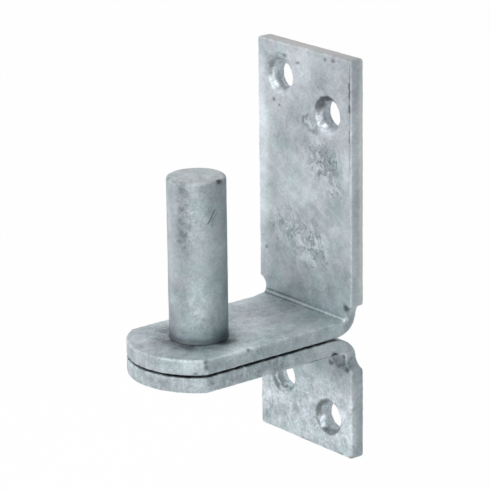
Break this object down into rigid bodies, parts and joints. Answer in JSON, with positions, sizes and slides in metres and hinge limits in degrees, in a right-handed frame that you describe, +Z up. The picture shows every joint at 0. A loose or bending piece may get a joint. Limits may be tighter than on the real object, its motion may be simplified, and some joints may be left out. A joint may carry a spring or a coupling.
{
  "type": "gate hinge pin on plate",
  "caption": "Galvanised gate hinge pin: upright round pin riveted through the tongues of folded strap plates that screw flat to a post, with staggered countersunk holes.",
  "frame": {"origin": "on the pin's axis, at the top face of the tongue", "axes": "+Z up the pin, +Y to the post that the plates screw to, +X to the right of someone facing the post"},
  "size_m": [0.039, 0.061, 0.1126],
  "materials": {
    "galvanised_plate": "hot-dip galvanised, mottled satin grey zinc",
    "galvanised_pin": "hot-dip galvanised, mottled satin grey zinc"
  },
  "bodies": {
    "root": {"upper_plate": "galvanised_plate", "lower_plate": "galvanised_plate", "hinge_pin": "galvanised_pin"}
  },
  "joints": []
}
